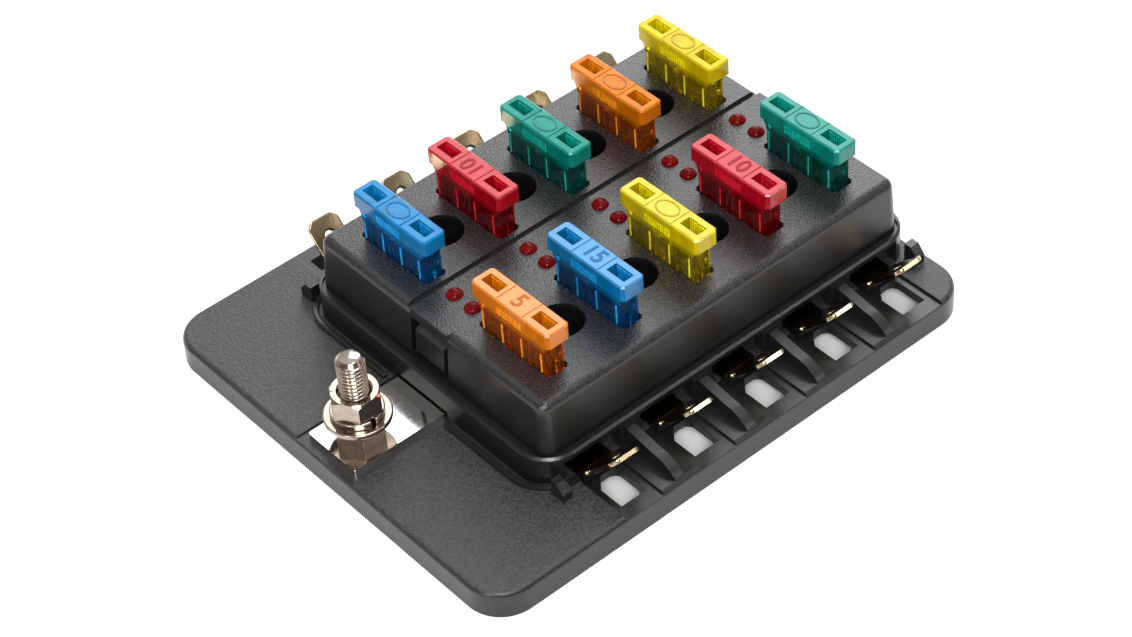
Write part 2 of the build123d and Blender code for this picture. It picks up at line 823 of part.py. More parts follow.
with BuildPart() as housing_screws:
    with BuildSketch(Plane.XY.offset(screw_head_low)):
        with Locations(*screw_places):
            Circle(screw_head / 2)
    extrude(amount=screw_head_height)
    with BuildSketch(Plane.XY.offset(screw_head_low)):
        with Locations(*screw_places):
            Circle(screw_diameter / 2)
    extrude(amount=screw_top - screw_head_low)
save(housing_screws, "housing_screws")


# Stud: hexagonal head held in the plate, plain shank up through the busbar
with BuildPart() as stud:
    with BuildSketch(Plane.XY.offset(bar_low - hex_head_height)):
        with Locations((stud_x, 0)):
            RegularPolygon(hex_flats / 2, 6, major_radius=False)
    extrude(amount=hex_head_height)
    with BuildSketch(Plane.XY.offset(bar_low)):
        with Locations((stud_x, 0)):
            Circle(stud_diameter / 2)
    extrude(amount=stud_top - bar_low)
    chamfer(stud.faces().sort_by(Axis.Z)[-1].edges(), stud_chamfer)
save(stud, "stud")


def save_nut(low, label):
    """Hexagonal nut with its upper corners turned off."""
    axis_plane = Plane(origin=(stud_x, 0, low), x_dir=(1, 0, 0), z_dir=(0, -1, 0))
    corner = hex_flats / 2 / cos(radians(30))
    with BuildPart() as nut:
        with BuildSketch(Plane.XY.offset(low)):
            with Locations((stud_x, 0)):
                RegularPolygon(hex_flats / 2, 6, major_radius=False)
        extrude(amount=nut_height)
        with BuildSketch(axis_plane):
            with BuildLine():
                slope = (corner - hex_flats / 2) * tan(radians(30)) + hex_chamfer / 2
                Polyline(
                    (0, 0),
                    (corner, 0),
                    (corner, nut_height - slope),
                    (hex_flats / 2, nut_height),
                    (0, nut_height),
                    close=True,
                )
            make_face()
        revolve(axis=Axis((stud_x, 0, 0), (0, 0, 1)), mode=Mode.INTERSECT)
        with Locations((stud_x, 0, low + nut_height / 2)):
            Hole(stud_diameter / 2 + thread_clearance)
    save(nut, label)


save_nut(nut_low, "lower_nut")
save_nut(upper_nut_low, "upper_nut")

with BuildPart() as flat_washer:
    with BuildSketch(Plane.XY.offset(washer_low)):
        with Locations((stud_x, 0)):
            Circle(washer_diameter / 2)
            Circle(stud_diameter / 2 + washer_clearance, mode=Mode.SUBTRACT)
    extrude(amount=washer_thickness)
save(flat_washer, "flat_washer")

with BuildPart() as lock_washer:
    with BuildSketch(Plane.XY.offset(lock_low)):
        with Locations((stud_x, 0)):
            Circle(lock_diameter / 2)
            Circle(stud_diameter / 2 + washer_clearance, mode=Mode.SUBTRACT)
            with Locations((0, -lock_diameter / 2)):
                Rectangle(lock_split, lock_diameter, mode=Mode.SUBTRACT)
    extrude(amount=lock_thickness)
save(lock_washer, "lock_washer")
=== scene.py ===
"""Looks and studio of a ten-way blade fuse block. Laid out as a Blender add-on and run as a script."""

from math import cos, pi, radians, sin

import bmesh
import bpy
from mathutils import Matrix, Vector


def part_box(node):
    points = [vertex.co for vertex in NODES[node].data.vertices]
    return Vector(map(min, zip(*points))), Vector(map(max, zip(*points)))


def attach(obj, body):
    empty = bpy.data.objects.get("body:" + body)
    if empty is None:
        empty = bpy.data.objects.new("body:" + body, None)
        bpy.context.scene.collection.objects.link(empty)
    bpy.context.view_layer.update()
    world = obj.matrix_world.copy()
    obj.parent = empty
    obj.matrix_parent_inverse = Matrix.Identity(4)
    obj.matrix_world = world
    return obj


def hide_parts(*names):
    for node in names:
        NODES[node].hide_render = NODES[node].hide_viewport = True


bl_info = {
    "name": "Blade Fuse Block",
    "version": (1, 0, 0),
    "blender": (4, 5, 0),
    "location": "View3D > Sidebar > Fuse Block",
    "description": "Finishes the pieces of a ten-way blade fuse block and sets its studio",
    "category": "Object",
}

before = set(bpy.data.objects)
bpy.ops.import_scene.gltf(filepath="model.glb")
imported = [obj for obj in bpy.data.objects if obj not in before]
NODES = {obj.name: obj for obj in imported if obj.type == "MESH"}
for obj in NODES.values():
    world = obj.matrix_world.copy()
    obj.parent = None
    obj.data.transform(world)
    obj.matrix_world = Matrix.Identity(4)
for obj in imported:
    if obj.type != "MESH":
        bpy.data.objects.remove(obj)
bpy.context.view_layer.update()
MM = 0.001

WAYS = [row + str(n) for row in "ab" for n in range(1, 6)]
# Colour of each fuse, and how far the top face of its head is frosted and paled by a painted sheen, from 0 to
# 1
FUSES = {
    "a1": ("orange", 0.9),
    "a2": ("blue", 0.8),
    "a3": ("yellow", 0.4),
    "a4": ("red", 0.6),
    "a5": ("teal", 0.4),
    "b1": ("blue", 0.1),
    "b2": ("red", 0.5),
    "b3": ("teal", 0.0),
    "b4": ("orange", 0.0),
    "b5": ("yellow", 0.05),
}
# Ratings that can be read on the pads; the other pads carry a plain raised oval
RATING = {"a1": "5", "a2": "15", "a4": "10", "b2": "10"}

# Rows of small ribs on both sides of a fuse body, in millimetres from its middle: place along X, places
# along Y, ribs in a row, their pitch, their width along Y and their depth along X
RIBS = {
    "comb": (1.05, (-6.2, 6.2), 8, 0.5, 0.26, 0.44),
    "knurls": (2.5, (0.0,), 13, 0.48, 0.3, 0.24),
    "rods": (2.1, (-2.4, -7.25, 2.4, 7.25), 1, 1.0, 0.36, 0.46),
    "flutes": (1.75, (0.0,), 3, 1.4, 0.7, 0.6),
}

POLYCARBONATE_IOR = 1.58
EPOXY_IOR = 1.5

# Nodes that many trees use
MATH = "ShaderNodeMath"
RANGE = "ShaderNodeMapRange"
MIX = "ShaderNodeMix"
BUMP = "ShaderNodeBump"
XYZ = "ShaderNodeCombineXYZ"
AT_POINTS = "GeometryNodeInstanceOnPoints"

# Square soft lights, all aimed at the origin: place, size in metres, power in watts
SOFTBOXES = {
    "softbox_sheen": ((0.72, 0.62, 0.84), 0.7, 5.2),
    "softbox_back": ((0.85, 0.85, 0.42), 0.5, 2.5),
    "softbox_top": ((0.10, -0.25, 1.10), 0.4, 3.0),
    "softbox_left": ((-0.95, -0.30, 0.40), 0.25, 3.2),
    "softbox_front": ((-0.36, -0.46, 0.54), 0.3, 5.5),
    "softbox_right": ((0.49, -0.70, 0.513), 0.12, 0.6),
}


# ---------------------------------------------------------------- settings


def length_property(name, description, millimetres):
    """Length setting with a default in millimetres."""
    return bpy.props.FloatProperty(
        name=name,
        description=description,
        default=millimetres * MM,
        unit="LENGTH",
        precision=5,
    )


def linear(value):
    """sRGB hex value to linear red, green, blue and alpha."""
    channels = [int(value[i : i + 2], 16) / 255 for i in (1, 3, 5)]
    return tuple(c / 12.92 if c <= 0.04045 else ((c + 0.055) / 1.055) ** 2.4 for c in channels) + (1.0,)


def colour_property(name, description, default):
    """Colour setting from an sRGB hex value."""
    return bpy.props.FloatVectorProperty(
        name=name,
        description=description,
        subtype="COLOR",
        size=3,
        min=0.0,
        max=1.0,
        default=linear(default)[:3],
    )


class FuseBlockSizes(bpy.types.PropertyGroup):
    """Sizes of the details that are finished here."""

    thread_pitch: length_property("Thread pitch", "Rise of the stud's thread in one turn", 0.8)
    thread_depth: length_property("Thread depth", "Depth of the stud's thread, from crest to root", 0.42)
    edge_round: length_property("Moulded edge", "Width of the rounding on the black mouldings' edges", 0.16)
    fuse_edge_round: length_property("Fuse edge", "Width of the rounding on the fuse bodies' edges", 0.1)
    metal_edge_round: length_property("Metal edge", "Width of the rounding on the busbar and the nuts", 0.12)
    washer_edge_round: length_property("Washer edge", "Width of the rounding on the washers", 0.22)
    tab_edge_round: length_property("Tab edge", "Width of the rounding on the output tabs", 0.3)
    digit_height: length_property("Digit height", "Height of the rating on the head of a fuse", 3.0)
    digit_relief: length_property("Digit relief", "How far ratings and ovals stand up from the head", 0.1)


class FuseBlockColours(bpy.types.PropertyGroup):
    """Colours of the plastics."""

    moulding: colour_property("Mouldings", "Black nylon of the plate and the housing", "#121213")
    orange: colour_property("Orange fuses", "Clear orange plastic", "#f98c0a")
    blue: colour_property("Blue fuses", "Clear blue plastic", "#0f93d8")
    yellow: colour_property("Yellow fuses", "Clear yellow plastic", "#f5dc08")
    red: colour_property("Red fuses", "Clear red plastic", "#d3102a")
    teal: colour_property("Teal fuses", "Clear blue-green plastic", "#0aa392")
    lamp: colour_property("Lamps", "Clear red epoxy", "#620709")


def chosen_colour(context, name):
    """A colour setting with its alpha."""
    return (*getattr(context.scene.fuse_block_colours, name), 1.0)


# ---------------------------------------------------------------- nodes and materials


def add(tree, kind, inputs=None, **settings):
    """Add one node to a tree.

    Inputs are given by name or number. Each is a value, or the socket that feeds it, or the node whose first
    output that is in use feeds it.
    """
    node = tree.nodes.new(kind)
    for name, value in settings.items():
        setattr(node, name, value)
    for name, value in (inputs or {}).items():
        if isinstance(value, bpy.types.Node):
            value = next(output for output in value.outputs if output.enabled)
        if isinstance(value, bpy.types.NodeSocket):
            tree.links.new(value, node.inputs[name])
        else:
            node.inputs[name].default_value = value
    return node


def span(value, low, high, start=0.3, stop=0.7):
    """Inputs of a Map Range node that takes start and stop to low and high.

    The usual start and stop are the values that a noise mostly lies between.
    """
    return {"Value": value, "From Min": start, "From Max": stop, "To Min": low, "To Max": high}


def shade(colour, factor):
    """The colour, lighter or darker by factor."""
    return tuple(min(1.0, c * factor) for c in colour[:3]) + (1.0,)


def noise(tree, coords, size, detail=2.0, stretch=(1, 1, 1)):
    """Noise whose grains are about size metres across; stretch multiplies that along each axis."""
    scaled = add(tree, "ShaderNodeMapping", {"Vector": coords, "Scale": tuple(1 / s for s in stretch)})
    return add(tree, "ShaderNodeTexNoise", {"Vector": scaled, "Scale": 1 / size, "Detail": detail})


def mottled(tree, pattern, colour, dark, light):
    """The colour, shaded between two factors by a noise."""
    share = add(tree, RANGE, span(pattern, 0, 1))
    return add(tree, MIX, {0: share, 6: shade(colour, dark), 7: shade(colour, light)}, data_type="RGBA")


def start_material(name):
    """New material, its tree and the object's own coordinates."""
    material = bpy.data.materials.new(name)
    material.use_nodes = True
    tree = material.node_tree
    tree.nodes.clear()
    return material, tree, add(tree, "ShaderNodeTexCoord").outputs["Object"]


def end_material(material, inputs):
    """Gives the material its shader, with those inputs."""
    shader = add(material.node_tree, "ShaderNodeBsdfPrincipled", inputs)
    add(material.node_tree, "ShaderNodeOutputMaterial", {"Surface": shader})
    return material


def textured_nylon(name, colour, grain, roughness, heights, painted_sheen_factors, bays=None):
    """Black glass-filled nylon from a spark-eroded mould: a fine grain, smooth where the mould is polished.

    The grain starts at the first of the heights, is full from the second and ends at the third. Its colour is
    made greyer by that range of factors, with a random speckle: a painted sheen that stands in for the extra
    light the grain scatters. The bays, given as two places along X and one along Y, are polished too.
    """
    material, tree, coords = start_material(name)
    fine = noise(tree, coords, grain, 3.0)
    cloud = noise(tree, coords, 14 * MM, 2.0)
    wear = noise(tree, coords, 2.5 * MM, 4.0)
    x, y, z = add(tree, "ShaderNodeSeparateXYZ", {0: coords}).outputs
    grain_start, grain_full, grain_end = heights
    end_fade = 0.05 * MM
    # Mask of the grained top faces; it also carries the painted sheen
    above = add(tree, RANGE, span(z, 0, 1, grain_start, grain_full))
    below = add(tree, RANGE, span(z, 1, 0, grain_end, grain_end + end_fade))
    grain_and_sheen = add(tree, MATH, {0: above, 1: below}, operation="MULTIPLY")
    if bays:
        bay_start, bay_stop, bay_line = bays
        bay_fade = 0.1 * MM
        after = add(tree, RANGE, span(x, 0, 1, bay_start - bay_fade, bay_start))
        before = add(tree, RANGE, span(x, 1, 0, bay_stop, bay_stop + bay_fade))
        aside = add(tree, MATH, {0: y}, operation="ABSOLUTE")
        beyond = add(tree, RANGE, span(aside, 0, 1, bay_line - bay_fade, bay_line))
        along = add(tree, MATH, {0: after, 1: before}, operation="MULTIPLY")
        in_bays = add(tree, MATH, {0: along, 1: beyond}, operation="MULTIPLY")
        out_of_bays = add(tree, MATH, {0: 1.0, 1: in_bays}, operation="SUBTRACT")
        grain_and_sheen = add(tree, MATH, {0: grain_and_sheen, 1: out_of_bays}, operation="MULTIPLY")
    polished_tone = mottled(tree, cloud, colour, 0.85, 1.2)
    # Painted sheen: the grained parts get a lighter, randomly speckled copy of the colour
    grain_speckle_and_sheen_tone = mottled(tree, fine, colour, *painted_sheen_factors)
    polished_roughness = 0.31
    fine_roughness = add(tree, RANGE, span(fine, roughness - 0.06, roughness + 0.06))
    worn = add(tree, RANGE, span(wear, -0.03, 0.03))
    grain_roughness = add(tree, MATH, {0: fine_roughness, 1: worn}, operation="ADD")
    # The polished parts keep a quarter of the grain's relief
    relief_share = add(tree, RANGE, span(grain_and_sheen, 0.25, 1.0, 0, 1))
    relief = add(tree, MATH, {0: fine, 1: relief_share}, operation="MULTIPLY")
    return end_material(
        material,
        {
            "IOR": 1.53,
            "Base Color": add(tree, MIX, {0: grain_and_sheen, 6: polished_tone, 7: grain_speckle_and_sheen_tone}, data_type="RGBA"),
            "Roughness": add(tree, RANGE, span(grain_and_sheen, polished_roughness, grain_roughness, 0, 1)),
            "Normal": add(tree, BUMP, {"Height": relief, "Distance": 0.12 * MM, "Strength": 1.0}),
        },
    )


def clear_fuse_plastic(name, colour, frost_and_sheen):
    """Tinted clear polycarbonate of a fuse body: frosted and paled by a painted sheen on the head's top face,
    glossy and deeper below.
    """
    material, tree, coords = start_material(name)
    normal = add(tree, "ShaderNodeNewGeometry").outputs["Normal"]
    up = add(tree, "ShaderNodeSeparateXYZ", {0: normal}).outputs["Z"]
    height = add(tree, "ShaderNodeSeparateXYZ", {0: coords}).outputs["Z"]
    head_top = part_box("fuse_body_a1")[1].z
    in_head = add(tree, RANGE, span(height, 0, 1, head_top - 5.0 * MM, head_top - 2.6 * MM))
    faces_up = add(tree, RANGE, span(up, 0, 1, 0.55, 0.95))
    at_top = add(tree, RANGE, span(height, 0, 1, head_top - 0.35 * MM, head_top - 0.1 * MM))
    on_top = add(tree, MATH, {0: faces_up, 1: at_top}, operation="MULTIPLY")
    flow = noise(tree, coords, 2.2 * MM, 1.0, (1, 1, 3))
    grain = noise(tree, coords, 0.16 * MM, 2.0)
    head_tint = mottled(tree, flow, colour, 0.54, 0.76)
    waist_tint = mottled(tree, flow, colour, 0.95, 1.15)
    tint = add(tree, MIX, {0: in_head, 6: waist_tint, 7: head_tint}, data_type="RGBA")
    gloss_roughness, frost_roughness = 0.04, 0.34
    roughness = gloss_roughness
    if frost_and_sheen:
        frost_and_sheen_share = add(tree, RANGE, span(on_top, 0, frost_and_sheen, 0, 1))
        # Painted sheen: the top face's colour is paled towards white as far as it is frosted
        painted_sheen_tint = tuple(0.7 * c + 0.12 for c in colour[:3]) + (1.0,)
        tint = add(tree, MIX, {0: frost_and_sheen_share, 6: tint, 7: painted_sheen_tint}, data_type="RGBA")
        roughness = add(tree, RANGE, span(frost_and_sheen_share, gloss_roughness, frost_roughness, 0, 1))
    # Clearest in the thin waist; the top face lets little light in, so it shows its colour and not the sky
    clarity = add(tree, RANGE, span(in_head, 0.94, 0.45, 0, 1))
    ripple = add(tree, BUMP, {"Height": flow, "Distance": 0.05 * MM, "Strength": 0.4})
    return end_material(
        material,
        {
            "IOR": POLYCARBONATE_IOR,
            "Base Color": tint,
            "Roughness": roughness,
            "Transmission Weight": add(tree, RANGE, span(on_top, clarity, 0.1, 0, 1)),
            # The top face is finely ribbed by the mould, which breaks up its mirror
            "Specular IOR Level": add(tree, RANGE, span(on_top, 0.2, 0.08, 0, 1)),
            "Normal": add(
                tree, BUMP, {"Height": grain, "Distance": 0.01 * MM, "Strength": 0.4, "Normal": ripple}
            ),
        },
    )


def even_plastic(name, colour, size, tones, roughness, relief, values, detail=2.0, stretch=(1, 1, 1)):
    """Plastic of one colour, whose tone, roughness and relief all follow one noise of that size.

    Tones and roughness are ranges, the relief is its height in metres and its strength, and the values go to
    the shader as they are.
    """
    material, tree, coords = start_material(name)
    flow = noise(tree, coords, size, detail, stretch)
    depth, strength = relief
    return end_material(
        material,
        {
            **values,
            "Base Color": mottled(tree, flow, colour, *tones),
            "Roughness": add(tree, RANGE, span(flow, *roughness)),
            "Normal": add(tree, BUMP, {"Height": flow, "Distance": depth, "Strength": strength}),
        },
    )


def raised_fuse_plastic(name, colour):
    """The same plastic on the polished tops of the raised figures, which keep the full tint."""
    return even_plastic(
        name,
        colour,
        size=0.4 * MM,
        tones=(0.28, 0.48),
        roughness=(0.2, 0.3),
        relief=(0.01 * MM, 0.4),
        values={"IOR": POLYCARBONATE_IOR, "Specular IOR Level": 0.1},
    )


def edge_lit_plastic(name, colour):
    """The same plastic on narrow ribs and rods, painted lighter as a glow of the light that runs along the
    moulding and comes out there.
    """
    return even_plastic(
        name,
        colour,
        size=0.5 * MM,
        # Painted glow: up to a third lighter than the plastic's own colour
        tones=(0.7, 1.35),
        roughness=(0.06, 0.16),
        relief=(0.02 * MM, 0.3),
        values={"IOR": POLYCARBONATE_IOR, "Specular IOR Level": 0.5, "Transmission Weight": 0.25},
        detail=1.0,
        stretch=(1, 1, 2),
    )


def clear_epoxy(name, colour):
    """Clear red cast epoxy of an unlit lamp: very glossy, dark inside."""
    return even_plastic(
        name,
        colour,
        size=1.2 * MM,
        tones=(0.7, 1.1),
        roughness=(0.05, 0.1),
        relief=(0.004 * MM, 0.3),
        values={"IOR": EPOXY_IOR, "Specular IOR Level": 0.08},
        detail=1.0,
    )


def moulded_chip(name, colour):
    """Moulded epoxy of a chip resistor: even and matte."""
    return even_plastic(
        name,
        colour,
        size=0.3 * MM,
        tones=(0.85, 1.15),
        roughness=(0.45, 0.55),
        relief=(0.01 * MM, 0.4),
        values={"IOR": EPOXY_IOR},
    )


def coated_laminate(name, colour):
    """Solder coat on a glass laminate: satin, with the weave of the glass cloth showing through."""
    material, tree, coords = start_material(name)
    fine = noise(tree, coords, 0.8 * MM, 2.0)
    # The cloth is drawn coarse: at this scale the bands are 1.4 mm apart across the board
    cloth = {"Vector": coords, "Scale": 318.47, "Distortion": 0.5}
    weave = add(tree, "ShaderNodeTexWave", cloth, bands_direction="DIAGONAL").outputs["Fac"]
    return end_material(
        material,
        {
            "IOR": EPOXY_IOR,
            "Base Color": mottled(tree, fine, colour, 0.85, 1.15),
            "Roughness": add(tree, RANGE, span(fine, 0.35, 0.45)),
            "Normal": add(tree, BUMP, {"Height": weave, "Distance": 0.01 * MM, "Strength": 0.4}),
        },
    )


def plated_metal(
    name, light, dark, roughness, grain, stretch=(1, 1, 1), relief=0.003 * MM, stain=6.0 * MM
):
    """Plated metal: a mirror dulled by fine scratches along the rolling direction and by faint stains."""
    material, tree, coords = start_material(name)
    lines = noise(tree, coords, grain, 3.0, stretch)
    cloud = noise(tree, coords, stain, 3.0)
    cloud_share = add(tree, RANGE, span(cloud, 0, 1))
    scratched = add(tree, RANGE, span(lines, roughness * 0.7, roughness * 1.3))
    stained = add(tree, RANGE, span(cloud, 0.03, -0.02))
    return end_material(
        material,
        {
            "Metallic": 1.0,
            "Base Color": add(
                tree, MIX, {0: cloud_share, 6: linear(dark), 7: linear(light)}, data_type="RGBA"
            ),
            "Roughness": add(tree, MATH, {0: scratched, 1: stained}, operation="ADD"),
            "Normal": add(tree, BUMP, {"Height": lines, "Distance": relief, "Strength": 0.5}),
        },
    )


def paper(name):
    """Pale uncoated paper: matte and nearly even."""
    material, tree, coords = start_material(name)
    fibre = noise(tree, coords, 1.5 * MM, 3.0)
    share = add(tree, RANGE, span(fibre, 0, 1))
    pale = {0: share, 6: linear("#f4f4f4"), 7: linear("#f8f8f8")}
    return end_material(
        material,
        {
            "IOR": 1.4,
            "Base Color": add(tree, MIX, pale, data_type="RGBA"),
            "Roughness": add(tree, RANGE, span(fibre, 0.75, 0.85)),
        },
    )


# ---------------------------------------------------------------- mesh work


def middle(node_name):
    """Middle of a CAD node's box."""
    low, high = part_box(node_name)
    return (low + high) / 2


def new_piece(name, data):
    """New object in the scene, at the origin."""
    piece = bpy.data.objects.new(name, data)
    bpy.context.scene.collection.objects.link(piece)
    return piece


def merged_copy(node_name):
    """Copy of a CAD node's mesh with its loose triangles joined."""
    work = bmesh.new()
    work.from_mesh(NODES[node_name].data)
    bmesh.ops.remove_doubles(work, verts=work.verts, dist=0.002 * MM)
    bmesh.ops.dissolve_degenerate(work, edges=work.edges, dist=0.001 * MM)
    bmesh.ops.recalc_face_normals(work, faces=work.faces)
    return work


def smooth(mesh, sharp_angle):
    """Smooth shading with the edges sharper than that angle kept sharp."""
    mesh.polygons.foreach_set("use_smooth", [True] * len(mesh.polygons))
    mesh.set_sharp_from_angle(angle=radians(sharp_angle))
    return mesh


def to_mesh(work, name, sharp_angle=30):
    """Ends the bmesh and returns its smooth-shaded mesh."""
    mesh = bpy.data.meshes.new(name)
    work.to_mesh(mesh)
    work.free()
    if "custom_normal" in mesh.attributes:
        mesh.attributes.remove(mesh.attributes["custom_normal"])
    return smooth(mesh, sharp_angle)


def soften(piece, width, segments=2):
    """Rounds the edges of a piece, and shades its large faces flat up to the rounding."""
    bevel = piece.modifiers.new("edge_round", "BEVEL")
    bevel.width = width
    bevel.segments = segments
    bevel.limit_method = "ANGLE"
    bevel.angle_limit = radians(28)
    bevel.use_clamp_overlap = True
    bevel.miter_outer = "MITER_ARC"
    weighted = piece.modifiers.new("even_shading", "WEIGHTED_NORMAL")
    weighted.mode = "FACE_AREA"
    weighted.keep_sharp = True


def dress(piece, material, body, slot, *replaced):
    """Gives a piece its material, the body that it rides on and the CAD nodes that it stands for."""
    if not piece.data.materials:
        piece.data.materials.append(material)
    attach(piece, body)
    if replaced:
        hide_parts(*replaced)


def dressed_copy(node_name, name, material, body, slot, width, segments=2):
    """Copy of a CAD node with rounded edges, shown in its place."""
    piece = new_piece(name, to_mesh(merged_copy(node_name), name))
    soften(piece, width, segments)
    dress(piece, material, body, slot, node_name)


def paint_node(node_name, material):
    """Puts a material on a CAD node that is shown as it is."""
    mesh = NODES[node_name].data
    mesh.materials.clear()
    mesh.materials.append(material)


def plain_mesh(carrier, name):
    """Plain mesh of what an object's modifiers or its curve make."""
    depsgraph = bpy.context.evaluated_depsgraph_get()
    mesh = bpy.data.meshes.new_from_object(carrier.evaluated_get(depsgraph))
    mesh.name = name
    if not len(mesh.polygons):
        raise RuntimeError(name + " has no faces")
    return mesh


# ---------------------------------------------------------------- geometry trees


def new_tree(name, sockets):
    """New geometry tree with named inputs, given as (name, kind, default)."""
    tree = bpy.data.node_groups.new(name, "GeometryNodeTree")
    tree.interface.new_socket("Geometry", in_out="INPUT", socket_type="NodeSocketGeometry")
    for label, kind, default in sockets:
        socket = tree.interface.new_socket(label, in_out="INPUT", socket_type="NodeSocket" + kind)
        if default is not None:
            socket.default_value = default
    tree.interface.new_socket("Geometry", in_out="OUTPUT", socket_type="NodeSocketGeometry")
    return tree, add(tree, "NodeGroupInput").outputs


def end_tree(tree, geometry, material_socket):
    """Realizes what a tree made, sets its material and sends it out."""
    real = add(tree, "GeometryNodeRealizeInstances", {"Geometry": geometry})
    painted = add(tree, "GeometryNodeSetMaterial", {"Geometry": real, "Material": material_socket})
    add(tree, "NodeGroupOutput", {"Geometry": painted})
    return tree


def grown(name, tree, points, **values):
    """Runs a geometry tree on a mesh of points and returns the plain mesh that it makes."""
    seed_mesh = bpy.data.meshes.new(name + "_points")
    seed_mesh.from_pydata(points, [], [])
    carrier = new_piece(name + "_carrier", seed_mesh)
    modifier = carrier.modifiers.new("rule", "NODES")
    modifier.node_group = tree
    for item in tree.interface.items_tree:
        key = item.name.lower().replace(" ", "_")
        if item.in_out == "INPUT" and key in values:
            modifier[item.identifier] = values[key]
    mesh = plain_mesh(carrier, name)
    carrier.modifiers.remove(modifier)
    bpy.data.objects.remove(carrier)
    return mesh


def thread_tree():
    """Geometry tree of a threaded rod: a grid rolled round the axis, its radius following the helix."""
    tree, given = new_tree(
        "threaded_rod",
        [
            ("Radius", "Float", 2.5 * MM),
            ("Pitch", "Float", 0.8 * MM),
            ("Depth", "Float", 0.4 * MM),
            ("Low", "Float", 0.0),
            ("Length", "Float", 10 * MM),
            ("Tip chamfer", "Float", 0.7 * MM),
            ("Centre", "Vector", None),
            ("Material", "Material", None),
        ],
    )
    around, along = 40, 260
    grid = add(
        tree,
        "GeometryNodeMeshGrid",
        {"Size X": 1.0, "Size Y": 1.0, "Vertices X": around + 1, "Vertices Y": along},
    )
    position = add(tree, "GeometryNodeInputPosition")
    across, up, _ = add(tree, "ShaderNodeSeparateXYZ", {0: position}).outputs
    turn = add(tree, MATH, {0: across, 1: 0.5}, operation="ADD")
    angle = add(tree, MATH, {0: turn, 1: 2 * pi}, operation="MULTIPLY")
    length_share = add(tree, MATH, {0: up, 1: 0.5}, operation="ADD")
    rise = add(tree, MATH, {0: length_share, 1: given["Length"]}, operation="MULTIPLY")
    turns = add(tree, MATH, {0: rise, 1: given["Pitch"]}, operation="DIVIDE")
    phase = add(tree, MATH, {0: turns, 1: turn}, operation="SUBTRACT")
    # From 0 in the middle of the crest to half a turn in the middle of the root
    from_crest = add(tree, MATH, {0: phase, 1: 0.5}, operation="PINGPONG")
    crest_end, root_start = 0.06, 0.42
    flank = span(from_crest, 0, 1, crest_end, root_start)
    cut_share = add(tree, RANGE, flank, interpolation_type="SMOOTHSTEP")
    cut = add(tree, MATH, {0: cut_share, 1: given["Depth"]}, operation="MULTIPLY")
    thread_radius = add(tree, MATH, {0: given["Radius"], 1: cut}, operation="SUBTRACT")
    tip_radius = add(tree, MATH, {0: given["Radius"], 1: given["Tip chamfer"]}, operation="SUBTRACT")
    from_tip = add(tree, MATH, {0: given["Length"], 1: rise}, operation="SUBTRACT")
    cone_radius = add(tree, MATH, {0: tip_radius, 1: from_tip}, operation="ADD")
    radius = add(tree, MATH, {0: thread_radius, 1: cone_radius}, operation="MINIMUM")
    cosine = add(tree, MATH, {0: angle}, operation="COSINE")
    sine = add(tree, MATH, {0: angle}, operation="SINE")
    rolled = add(
        tree,
        XYZ,
        {
            0: add(tree, MATH, {0: radius, 1: cosine}, operation="MULTIPLY"),
            1: add(tree, MATH, {0: radius, 1: sine}, operation="MULTIPLY"),
            2: add(tree, MATH, {0: rise, 1: given["Low"]}, operation="ADD"),
        },
    )
    placed = add(tree, "ShaderNodeVectorMath", {0: rolled, 1: given["Centre"]}, operation="ADD")
    wall = add(tree, "GeometryNodeSetPosition", {"Geometry": grid, "Position": placed})
    joined = add(tree, "GeometryNodeMergeByDistance", {"Geometry": wall, "Distance": 0.002 * MM})
    return end_tree(tree, joined, given["Material"])


def ribs_tree():
    """Geometry tree of short rows of upright half-round ribs, one row along Y at each point."""
    tree, given = new_tree(
        "upright_ribs",
        [
            ("Count", "Int", 5),
            ("Pitch", "Float", 0.5 * MM),
            ("Width", "Float", 0.3 * MM),
            ("Depth", "Float", 0.3 * MM),
            ("Height", "Float", 3 * MM),
            ("Material", "Material", None),
        ],
    )
    rod = add(tree, "GeometryNodeMeshCylinder", {"Vertices": 10, "Radius": 0.5, "Depth": 1.0})
    size = add(tree, XYZ, {0: given["Depth"], 1: given["Width"], 2: given["Height"]})
    rib = add(tree, "GeometryNodeTransform", {"Geometry": rod, "Scale": size})
    steps = add(tree, MATH, {0: given["Count"], 1: 1.0}, operation="SUBTRACT")
    half = add(tree, MATH, {0: steps, 1: -0.5}, operation="MULTIPLY")
    first = add(tree, MATH, {0: half, 1: given["Pitch"]}, operation="MULTIPLY")
    line = add(
        tree,
        "GeometryNodeMeshLine",
        {
            "Count": given["Count"],
            "Start Location": add(tree, XYZ, {1: first}),
            "Offset": add(tree, XYZ, {1: given["Pitch"]}),
        },
    )
    row = add(tree, AT_POINTS, {"Points": line, "Instance": rib})
    rows = add(tree, AT_POINTS, {"Points": given["Geometry"], "Instance": row})
    return end_tree(tree, rows, given["Material"])


